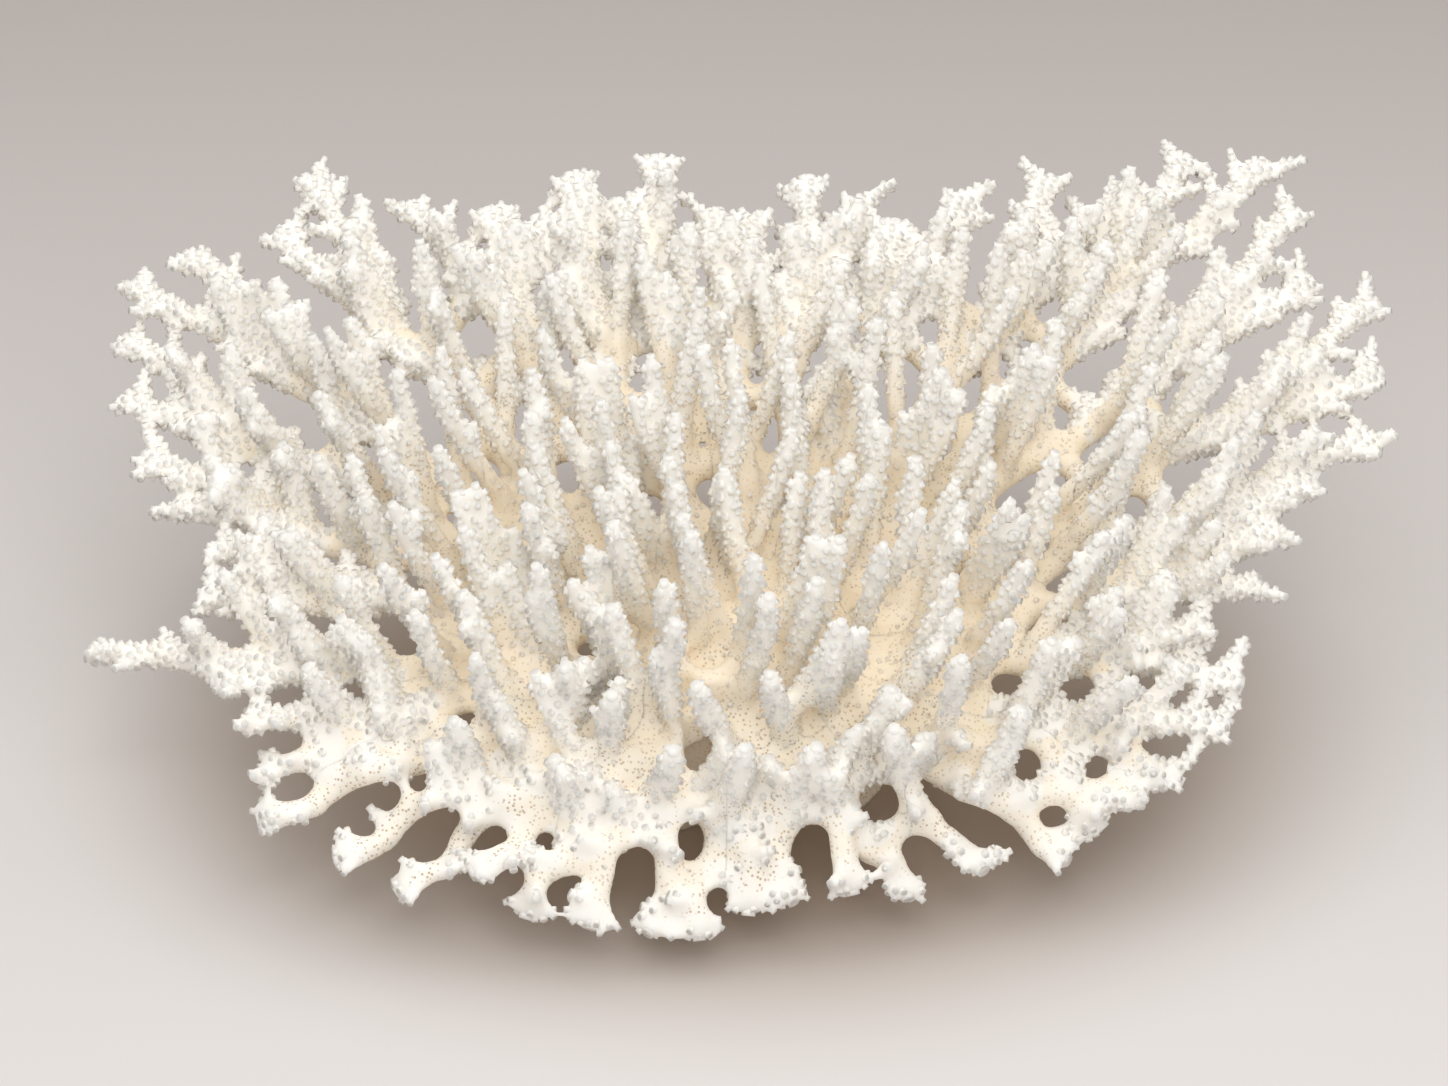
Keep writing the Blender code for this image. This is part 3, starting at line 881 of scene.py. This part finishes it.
@dataclass
class GrowthField:
    """How near each place is to growing tips, from 0 deep in the net to 1 at a tip."""

    tubes: list[Tube]
    step: float = 2 * MM
    finger_zone: float = 31 * MM
    tip_zone: float = 42 * MM
    front_tip_zone: float = 9 * MM
    skin: float = 3 * MM
    fade: float = 12 * MM
    tree: KDTree = field(init=False)
    values: list[float] = field(init=False)

    def __post_init__(self) -> None:
        """Sample every stretch along its course."""
        samples: list[tuple[Vector, float]] = []
        for tube in self.tubes:
            total = course_length(tube.points)
            for point, _, along in walk(tube, self.step):
                samples.append((point, self._value(tube, total - along)))
        self.tree = KDTree(len(samples))
        for i, (point, _) in enumerate(samples):
            self.tree.insert(point, i)
        self.tree.balance()
        self.values = [value for _, value in samples]

    def _value(self, tube: Tube, to_tip: float) -> float:
        """The growth of a stretch at a distance from its end."""
        if tube.kind == Kind.FINGER:
            return 0.2 + 0.8 * (1 - min(1.0, to_tip / self.finger_zone))
        if tube.tip:
            zone = self.front_tip_zone if tube.points[-1].y < FRONT_Y else self.tip_zone
            return 0.1 + 0.9 * (1 - min(1.0, to_tip / zone))
        return 0.1

    def at(self, point: Vector) -> float:
        """The growth at a place."""
        near = self.tree.find_n(point, 3)
        return max(self.values[index] - max(0.0, away - self.skin) / self.fade for _, index, away in near)


def course_length(points: Sequence[Vector]) -> float:
    """The length of a course."""
    return sum((b - a).length for a, b in zip(points, points[1:]))


def walk(tube: Tube, step: float) -> Iterator[tuple[Vector, Vector, float]]:
    """Walk along a stretch: each station's point, direction and distance from the root.

    Args:
        tube: The stretch.
        step: The distance between stations, made a little shorter to end at the tip.
    """
    total = course_length(tube.points)
    count = max(1, math.ceil(total / step))
    goal = 0.0
    number = 0
    done = 0.0
    for a, b in zip(tube.points, tube.points[1:]):
        length = (b - a).length
        while number <= count and goal <= done + length + 1e-9:
            yield a.lerp(b, (goal - done) / length), (b - a) / length, goal
            number += 1
            goal = total * number / count
        done += length


@dataclass(frozen=True)
class Cup:
    """The shape of one corallite as arrays, standing on the origin and pointing along +Z.

    Args:
        points: Its points, in units of its radius and height.
        faces: Its faces, each of three points.
        rim: How much paler each point is than the skin that it stands on.
    """

    points: np.ndarray
    faces: np.ndarray
    rim: np.ndarray

    @staticmethod
    def model(sides: int, mouth: float) -> Cup:
        """Model a cup once: a foot, walls that lean in, a round lip and a pit in its mouth.

        Args:
            sides: How many sides its wall has.
            mouth: The radius of its lip, where its foot has 1.

        Returns:
            The cup's arrays.
        """
        bpy.ops.object.select_all(action="DESELECT")
        bpy.ops.mesh.primitive_cylinder_add(
            vertices=sides, radius=1.0, depth=1.0, end_fill_type="TRIFAN", location=(0.0, 0.0, 0.5)
        )
        ob = bpy.context.object
        bpy.ops.object.mode_set(mode="EDIT")
        mesh = bmesh.from_edit_mesh(ob.data)
        for face in mesh.faces:
            face.select_set(face.normal.z > 0.5)
        bmesh.update_edit_mesh(ob.data)
        bpy.ops.transform.resize(value=(mouth, mouth, 1.0))
        bpy.ops.mesh.quads_convert_to_tris()
        mesh = bmesh.from_edit_mesh(ob.data)
        for vert in mesh.verts:
            centre = math.hypot(vert.co.x, vert.co.y) < 1e-4
            if centre:
                vert.co.z += -0.2 if vert.co.z > 0.5 else -0.45
            elif vert.co.z < 0.5:
                vert.co.z = -0.45
        bmesh.update_edit_mesh(ob.data)
        bpy.ops.mesh.select_all(action="SELECT")
        bpy.ops.mesh.quads_convert_to_tris()
        bpy.ops.object.mode_set(mode="OBJECT")
        points = np.array([vert.co for vert in ob.data.vertices])
        faces = np.array([tuple(face.vertices) for face in ob.data.polygons])
        pit = np.hypot(points[:, 0], points[:, 1]) < 1e-4
        rim = np.where(points[:, 2] > 0.9, 0.3, 0.1)
        rim[pit] = 0.0
        remove(ob)
        return Cup(points, faces, rim)


@dataclass
class Spot:
    """Where a corallite stands.

    Args:
        base: The point of the skin that it stands on.
        way: The direction that it points in.
        radius: The radius of its foot.
        height: How far it stands out.
        axial: Whether it is the large one at a tip.
    """

    base: Vector
    way: Vector
    radius: float
    height: float
    axial: bool = False


@dataclass
class Corallites:
    """The cups that cover the skin: small and low in the net, thick and long near the tips."""

    body: bpy.types.Object
    growth: GrowthField
    ring_step: float = 2.6 * MM
    spacing: float = 2.5 * MM
    least_apart: float = 1.95 * MM
    foot: float = 0.95 * MM
    low: float = 0.3 * MM
    high: float = 2.3 * MM
    reach: float = 2.6 * MM
    front_height: float = 0.75
    spots: list[Spot] = field(default_factory=list)
    taken: dict[tuple[int, int, int], list[Vector]] = field(default_factory=dict)

    def place(self, tubes: list[Tube]) -> None:
        """Find the spots on every stretch, tips first."""
        tree = BVHTree.FromObject(self.body, bpy.context.evaluated_depsgraph_get())
        for tube in tubes:
            if tube.tip:
                self._crown(tree, tube)
        order = {Kind.FINGER: 0, Kind.TWIG: 1, Kind.STRAND: 2, Kind.BRIDGE: 3}
        for tube in sorted(tubes, key=lambda tube: order[tube.kind]):
            self._cover(tree, tube)
        LOG.info("placed %d corallites", len(self.spots))

    def _crown(self, tree: BVHTree, tube: Tube) -> None:
        """Put the large axial corallite on a tip."""
        end, before = tube.points[-1], tube.points[-2]
        way = (end - before).normalized()
        hit, _, _, _ = tree.ray_cast(end - way * MM, way, tube.radii[-1] + self.reach)
        if hit is not None:
            self._take(hit)
            dice = random.Random(f"axial {end.x:.4f} {end.y:.4f}")
            radius = tube.radii[-1] * dice.uniform(0.46, 0.58)
            height = dice.uniform(1.8, 2.5) * MM
            self.spots.append(Spot(hit - way * 0.5 * MM, way, radius, height, axial=True))

    def _cover(self, tree: BVHTree, tube: Tube) -> None:
        """Put rings of corallites round a stretch, each turned half a step from the one before."""
        total = course_length(tube.points)
        dice = random.Random(f"cover {tube.points[0].x:.4f} {tube.points[-1].y:.4f}")
        wide = 1.0 if tube.tip else 1.45
        turn = dice.uniform(0, 6)
        for point, way, along in walk(tube, self.ring_step * wide):
            radius = tube.radii[0] + (tube.radii[-1] - tube.radii[0]) * along / total
            side = way.orthogonal().normalized()
            count = max(5, round(2 * math.pi * (radius + 0.3 * MM) / (self.spacing * wide)))
            turn += math.pi / count
            for number in range(count):
                angle = turn + 2 * math.pi * (number + dice.uniform(-0.16, 0.16)) / count
                ray = Matrix.Rotation(angle, 3, way) @ side
                start = point + way * dice.uniform(-0.35, 0.35) * self.ring_step
                if tube.kind in (Kind.STRAND, Kind.BRIDGE) and not tube.tip and ray.z < -0.5:
                    continue
                hit, normal, _, distance = tree.ray_cast(start, ray, radius + self.reach)
                if hit is None or normal.dot(ray) < 0.3 or not self._free(hit):
                    continue
                self._take(hit)
                self._add(tube.kind, hit, normal, way, dice)

    def _add(self, kind: Kind, hit: Vector, normal: Vector, way: Vector, dice: random.Random) -> None:
        """Add a spot, larger and leaning further towards the tip the nearer the tip is."""
        share = min(1.0, max(0.0, self.growth.at(hit)))
        in_front = hit.y < FRONT_Y
        plate = in_front and kind != Kind.FINGER
        bare_below = 0.85 if plate else 0.5 if in_front else 0.3
        if share < bare_below and dice.random() < (0.96 if plate else 0.7):
            return
        lean = way * (0.25 + 0.6 * share) + UP * 0.25 * (1 - share)
        height = (self.low + (self.high - self.low) * smooth(share * 1.25)) * dice.uniform(0.75, 1.25)
        if in_front:
            height *= self.front_height
        radius = self.foot * (0.82 + 0.2 * share) * dice.uniform(0.85, 1.15)
        self.spots.append(Spot(hit, (normal + lean).normalized(), radius, height))

    def _cell(self, point: Vector) -> tuple[int, int, int]:
        """The box of the grid that a point lies in."""
        return tuple(math.floor(value / self.least_apart) for value in point)

    def _take(self, point: Vector) -> None:
        """Mark a point as taken."""
        self.taken.setdefault(self._cell(point), []).append(point)

    def _free(self, point: Vector) -> bool:
        """Whether no corallite stands too near a point."""
        x, y, z = self._cell(point)
        for i in (x - 1, x, x + 1):
            for j in (y - 1, y, y + 1):
                for k in (z - 1, z, z + 1):
                    for other in self.taken.get((i, j, k), ()):
                        if (other - point).length < self.least_apart:
                            return False
        return True


@dataclass
class PieceMaker:
    """Makes each finished piece from its part of the body and the corallites that stand on it."""

    growth: GrowthField
    corallites: Corallites | None
    finish: bpy.types.Material
    small: Cup = field(init=False)
    large: Cup = field(init=False)

    def __post_init__(self) -> None:
        """Model the two sizes of cup."""
        self.small = Cup.model(6, 0.56)
        self.large = Cup.model(10, 0.78)

    def make(self, cell: Cell, part: bmesh.types.BMesh, splitter: Splitter) -> bpy.types.Object:
        """Make the object of one piece.

        Args:
            cell: The piece's cell.
            part: Its closed part of the body.
            splitter: What tells which corallites stand in the cell.

        Returns:
            The finished piece.
        """
        mesh = bpy.data.meshes.new(cell.node + "_coral")
        part.to_mesh(mesh)
        part.free()
        points = [np.array([vert.co for vert in mesh.vertices])]
        values = [np.array([self.growth.at(vert.co) for vert in mesh.vertices])]
        corners = [list(face.vertices) for face in mesh.polygons]
        count = len(mesh.vertices)
        if self.corallites:
            spots = self.corallites.spots
            bases = np.array([spot.base for spot in spots])
            inside = splitter.inside(cell, bases, 0.0)
            for index in np.flatnonzero(inside):
                spot = spots[index]
                cup = self.large if spot.axial else self.small
                points.append(self._stand(cup, spot))
                values.append(self.growth.at(spot.base) + cup.rim)
                corners.extend((cup.faces + count).tolist())
                count += len(cup.points)
        bpy.data.meshes.remove(mesh)
        return self._object(cell.node, np.concatenate(points), corners, np.concatenate(values))

    @staticmethod
    def _stand(cup: Cup, spot: Spot) -> np.ndarray:
        """The points of a cup that stands on its spot."""
        side = spot.way.orthogonal().normalized()
        other = spot.way.cross(side)
        frame_rows = np.array([side * spot.radius, other * spot.radius, spot.way * spot.height])
        return cup.points @ frame_rows + np.array(spot.base)

    def _object(
        self, node: str, points: np.ndarray, corners: list[list[int]], values: np.ndarray
    ) -> bpy.types.Object:
        """Make a dressed object of points and faces, smooth all over, with its growth as an attribute."""
        mesh = bpy.data.meshes.new(node + "_coral")
        mesh.from_pydata(points, [], corners)
        mesh.update()
        mesh.attributes.new("growth", "FLOAT", "POINT").data.foreach_set("value", values.clip(-0.3, 1.3))
        mesh.polygons.foreach_set("use_smooth", [True] * len(mesh.polygons))
        mesh.materials.append(self.finish)
        ob = bpy.data.objects.new(node + "_coral", mesh)
        bpy.context.scene.collection.objects.link(ob)
        return ob


@dataclass
class Sock:
    """A node socket that can be reckoned with: an expression on it adds the nodes that work it out."""

    tree: bpy.types.NodeTree
    socket: bpy.types.NodeSocket

    def _math(self, operation: str, *values: Sock | float) -> Sock:
        """A Math node on values."""
        node = self.tree.nodes.new("ShaderNodeMath")
        node.operation = operation
        for slot, value in zip(node.inputs, values):
            plug(self.tree, slot, value)
        return Sock(self.tree, node.outputs[0])

    def __add__(self, other: Sock | float) -> Sock:
        """The sum."""
        return self._math("ADD", self, other)

    def __radd__(self, other: float) -> Sock:
        """The sum with a number in front."""
        return self._math("ADD", other, self)

    def __sub__(self, other: Sock | float) -> Sock:
        """The difference."""
        return self._math("SUBTRACT", self, other)

    def __rsub__(self, other: float) -> Sock:
        """A number less this."""
        return self._math("SUBTRACT", other, self)

    def __mul__(self, other: Sock | float) -> Sock:
        """The product."""
        return self._math("MULTIPLY", self, other)

    def step(self, low: float, high: float) -> Sock:
        """0 below low, 1 above high and smooth between."""
        node = self.tree.nodes.new("ShaderNodeMapRange")
        node.interpolation_type = "SMOOTHSTEP"
        plug(self.tree, node.inputs["Value"], self)
        node.inputs["From Min"].default_value = low
        node.inputs["From Max"].default_value = high
        return Sock(self.tree, node.outputs["Result"])


def plug(tree: bpy.types.NodeTree, slot: bpy.types.NodeSocket, value: object) -> None:
    """Link a socket to an input, or set the input to a plain value."""
    if isinstance(value, Sock):
        tree.links.new(value.socket, slot)
    else:
        slot.default_value = value


@dataclass
class Shader:
    """A material's node tree while it is put together."""

    tree: bpy.types.NodeTree

    def node(self, kind: str, settings: dict[str, object], out: str, **values: object) -> Sock:
        """Add any node.

        Args:
            kind: The node's type.
            settings: What is set on the node itself before its sockets.
            out: The name of the output to take.
            values: The values or links of its inputs, with _ for a space in a name.

        Returns:
            The output.
        """
        node = self.tree.nodes.new(kind)
        for name, value in settings.items():
            if name == "stops":
                self._stops(node.color_ramp, value)
            else:
                setattr(node, name, value)
        for name, value in values.items():
            plug(self.tree, node.inputs[name.replace("_", " ")], value)
        return Sock(self.tree, node.outputs[out])

    @staticmethod
    def _stops(ramp: bpy.types.ColorRamp, stops: Sequence[tuple[float, tuple[float, ...]]]) -> None:
        """Set a ramp's stops, each a place and a colour."""
        while len(ramp.elements) < len(stops):
            ramp.elements.new(0.5)
        for element, (place, colour) in zip(ramp.elements, stops):
            element.position = place
            element.color = (*colour, 1.0)

    def blend(self, share: Sock | float, a: object, b: object) -> Sock:
        """Mix two colours."""
        node = self.tree.nodes.new("ShaderNodeMix")
        node.data_type = "RGBA"
        plug(self.tree, node.inputs[0], share)
        for slot, value in ((node.inputs[6], a), (node.inputs[7], b)):
            plug(self.tree, slot, value if isinstance(value, Sock) else (*value, 1.0))
        return Sock(self.tree, node.outputs[2])

    def noise(self, place: Sock, scale: float, detail: float = 3.0) -> Sock:
        """A noise of a size, in a value from 0 to 1."""
        return self.node("ShaderNodeTexNoise", {}, "Fac", Vector=place, Scale=scale, Detail=detail)


def start_material(name: str) -> tuple[bpy.types.Material, Shader, bpy.types.Node, Sock]:
    """Start a material: itself, its shader, its surface node and the place on the object."""
    material = bpy.data.materials.new(name)
    material.use_nodes = True
    shader = Shader(material.node_tree)
    bsdf = next(node for node in material.node_tree.nodes if node.type == "BSDF_PRINCIPLED")
    return material, shader, bsdf, shader.node("ShaderNodeTexCoord", {}, "Object")


@dataclass(frozen=True)
class CoralFinish:
    """Bleached limestone: white at the tips, cream and tan in the depths, with pores and fine grain. The
    cream and tan in the depths is partly the skin's own tone and partly painted shade, the warm dim light
    deep in the net.

    Args:
        name: The name of the material.
        deep: The colour at the bottom of the net, partly painted warm shade.
        cream: The colour of the older skin, partly painted warm shade.
        pale: The colour of the sides of fingers.
        tip: The colour of the growing ends.
        pore: The colour inside the pores.
    """

    name: str
    deep: tuple[float, float, float] = (0.96, 0.85, 0.68)
    cream: tuple[float, float, float] = (0.975, 0.895, 0.77)
    pale: tuple[float, float, float] = (0.98, 0.92, 0.82)
    tip: tuple[float, float, float] = (0.99, 0.95, 0.88)
    pore: tuple[float, float, float] = (0.52, 0.38, 0.25)
    roughness: float = 0.82

    def make(self) -> bpy.types.Material:
        """Make the material."""
        material, shader, bsdf, place = start_material(self.name)
        tree = shader.tree
        growth = shader.node("ShaderNodeAttribute", {"attribute_name": "growth"}, "Fac")
        mottle = shader.noise(place, 38.0, 4.0)
        grain = shader.noise(place, 900.0, 2.0)
        depth = shader.node("ShaderNodeSeparateXYZ", {}, "Y", Vector=place)
        front = 1 - depth.step(-0.085, -0.035)
        # Paler towards the tips, warmer and darker deep in the net: partly the skin's own tone, partly
        # painted shade.
        level = growth + (mottle - 0.5) * 0.5 + front * 0.35
        stops = [(0.0, self.deep), (0.28, self.cream), (0.55, self.pale), (0.9, self.tip)]
        colour = shader.node("ShaderNodeValToRGB", {"stops": stops}, "Color", Fac=level)
        cells = shader.node(
            "ShaderNodeTexVoronoi", {"feature": "F1"}, "Distance", Vector=place, Scale=820.0, Randomness=0.9
        )
        patches = 0.3 + mottle.step(0.4, 0.6) * 0.5 + front * 0.35
        pores = (1 - cells.step(0.16, 0.38)) * (1 - growth.step(0.4, 0.75)) * patches
        colour = shader.blend(pores * 0.8, colour, self.pore)
        plug(tree, bsdf.inputs["Base Color"], colour)
        plug(tree, bsdf.inputs["Roughness"], self.roughness + (grain - 0.5) * 0.15)
        relief = grain * 0.35 - pores + shader.noise(place, 260.0, 3.0) * 0.8
        bump = shader.node("ShaderNodeBump", {}, "Normal", Height=relief, Strength=0.4, Distance=0.0003)
        plug(tree, bsdf.inputs["Normal"], bump)
        bsdf.inputs["Subsurface Weight"].default_value = 0.15
        bsdf.inputs["Subsurface Radius"].default_value = (1.0, 0.6, 0.35)
        bsdf.inputs["Subsurface Scale"].default_value = 0.004
        bsdf.inputs["Specular IOR Level"].default_value = 0.3
        return material


@dataclass(frozen=True)
class FloorFinish:
    """A plain pale sheet that is a little darker towards the back, with a painted shadow under the coral.

    Args:
        name: The name of the material.
        near: The colour in front.
        far: The colour at the back.
        painted_shadow: The colour of the painted shadow under the coral, dark and warm.
        near_y: Where the colour starts to change.
        far_y: Where it has changed.
        painted_shadow_reach: Where the painted shadow under the coral starts and ends to fade.
        painted_shadow_share: How strong the painted shadow is.
    """

    name: str = "studio_floor"
    near: tuple[float, float, float] = (0.735, 0.705, 0.69)
    far: tuple[float, float, float] = (0.39, 0.348, 0.326)
    painted_shadow: tuple[float, float, float] = (0.40, 0.31, 0.235)
    near_y: float = -0.35
    far_y: float = 0.75
    painted_shadow_reach: tuple[float, float] = (0.06, 0.15)
    painted_shadow_share: float = 0.8

    def make(self) -> bpy.types.Material:
        """Make the material."""
        material, shader, bsdf, place = start_material(self.name)
        tree = shader.tree
        depth = shader.node("ShaderNodeSeparateXYZ", {}, "Y", Vector=place).step(self.near_y, self.far_y)
        squeezed = shader.node("ShaderNodeVectorMath", {"operation": "MULTIPLY"}, "Vector", Vector=place)
        squeezed.socket.node.inputs[1].default_value = (0.75, 1.0, 1.0)
        away = shader.node("ShaderNodeVectorMath", {"operation": "LENGTH"}, "Value", Vector=squeezed)
        colour = shader.blend(depth, self.near, self.far)
        # Painted shadow: a dark warm tint on the floor round the coral's foot, standing in for the shade
        # under it.
        colour = shader.blend((1 - away.step(*self.painted_shadow_reach)) * self.painted_shadow_share, colour, self.painted_shadow)
        plug(tree, bsdf.inputs["Base Color"], colour)
        bsdf.inputs["Roughness"].default_value = 0.9
        bsdf.inputs["Specular IOR Level"].default_value = 0.1
        return material


@dataclass
class Stage:
    """The floor, the lights and the camera.

    Args:
        elevation: How many degrees the camera looks down.
        distance: The camera's distance from its target.
        scale: The pixels to a metre at the target.
        target: The point that the camera is set by.
        target_pixel: The pixel that the target lands on.
        image: The picture's width and height in pixels.
        sensor: The width of the camera's sensor in millimetres.
        room_light: How strong the light from all sides is.
    """

    elevation: float = 36.0
    distance: float = 1.15
    scale: float = 3770.0
    target: Vector = field(default_factory=lambda: CROWN.copy())
    target_pixel: tuple[float, float] = (735.0, 655.0)
    image: tuple[int, int] = (1448, 1086)
    sensor: float = 36.0
    room_light: float = 0.45

    def build(self) -> None:
        """Build all of it."""
        self._floor()
        self._light("overhead_light", Vector((-0.1, 0.1, 1.6)), Vector((0.0, 0.0, 0.0)), 2.4, 20.5)
        self._light("front_light", Vector((0.25, -1.1, 1.25)), Vector((0.0, 0.0, 0.05)), 1.1, 8.6)
        self._world()
        self._camera()

    def _floor(self) -> None:
        """Lay the floor."""
        bpy.ops.object.select_all(action="DESELECT")
        bpy.ops.mesh.primitive_plane_add(size=8.0)
        floor = bpy.context.object
        floor.name = "floor"
        floor.data.materials.append(FloorFinish().make())

    @staticmethod
    def _light(name: str, place: Vector, goal: Vector, size: float, power: float) -> None:
        """Hang a soft square light that faces a point."""
        data = bpy.data.lights.new(name, "AREA")
        data.size = size
        data.energy = power
        light = bpy.data.objects.new(name, data)
        light.location = place
        light.rotation_euler = (goal - place).to_track_quat("-Z", "Y").to_euler()
        bpy.context.scene.collection.objects.link(light)

    def _world(self) -> None:
        """Light the room faintly from all sides."""
        world = bpy.data.worlds.new("studio")
        world.use_nodes = True
        background = next(node for node in world.node_tree.nodes if node.type == "BACKGROUND")
        background.inputs["Color"].default_value = (1.0, 0.98, 0.96, 1.0)
        background.inputs["Strength"].default_value = self.room_light
        bpy.context.scene.world = world
        bpy.context.scene.view_settings.view_transform = "Standard"

    def _camera(self) -> None:
        """Set the camera so that the target lands on its pixel."""
        tilt = math.radians(self.elevation)
        forward = Vector((0.0, math.cos(tilt), -math.sin(tilt)))
        right = Vector((1.0, 0.0, 0.0))
        up = right.cross(forward)
        across = (self.target_pixel[0] - self.image[0] / 2) / self.scale
        above = -(self.target_pixel[1] - self.image[1] / 2) / self.scale
        data = bpy.data.cameras.new("camera")
        data.sensor_width = self.sensor
        data.lens = self.scale * self.distance / self.image[0] * self.sensor
        data.clip_end = 20.0
        camera = bpy.data.objects.new("camera", data)
        eye = self.target - forward * self.distance - right * across - up * above
        axes = Matrix((right, up, -forward)).transposed().to_4x4()
        camera.matrix_world = Matrix.Translation(eye) @ axes
        bpy.context.scene.collection.objects.link(camera)
        bpy.context.scene.camera = camera


@dataclass
class Colony:
    """The whole coral: its pieces, made and dressed."""

    growth: Growth = field(default_factory=Growth)

    def build(self) -> None:
        """Grow the body, part it at the splits and set every piece in its place."""
        self.growth.grow()
        tubes = self.growth.tubes
        hole = (self.growth.hole, self.growth.hole_radius)
        body = Mass("coral_body", hole=hole).build(tubes)
        depth = GrowthField(tubes)
        corallites = Corallites(body, depth)
        if corallites:
            corallites.place(tubes)
        splitter = Splitter(body)
        maker = PieceMaker(depth, corallites, CoralFinish("branch_coral_finish").make())
        stalk_finish = CoralFinish("stalk_coral_finish").make()
        triangles = 0
        for cell in all_cells():
            part = splitter.part(cell)
            if cell.node == "stem":
                self._add_stalk(part)
            piece = maker.make(cell, part, splitter)
            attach(piece, "root")
            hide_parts(cell.node)
            (Slot.STALK if cell.node == "stem" else Slot.BRANCH).value
            size = sum(len(face.vertices) - 2 for face in piece.data.polygons)
            triangles += size
            LOG.info("%s has %d triangles", piece.name, size)
        remove(body)
        LOG.info("the coral has %d triangles", triangles)

    @staticmethod
    def _add_stalk(part: bmesh.types.BMesh) -> None:
        """Add the stalk under the crown's part of the body."""
        stalk = Stalk().build()
        mesh = bpy.data.meshes.new("stalk")
        stalk.to_mesh(mesh)
        stalk.free()
        part.from_mesh(mesh)
        bpy.data.meshes.remove(mesh)


def main() -> None:
    """Build the coral and its stage."""
    logging.basicConfig(level=logging.INFO, format="%(name)s: %(message)s", stream=sys.stdout)
    Stage().build()
    Colony().build()


if __name__ == "__main__":
    main()
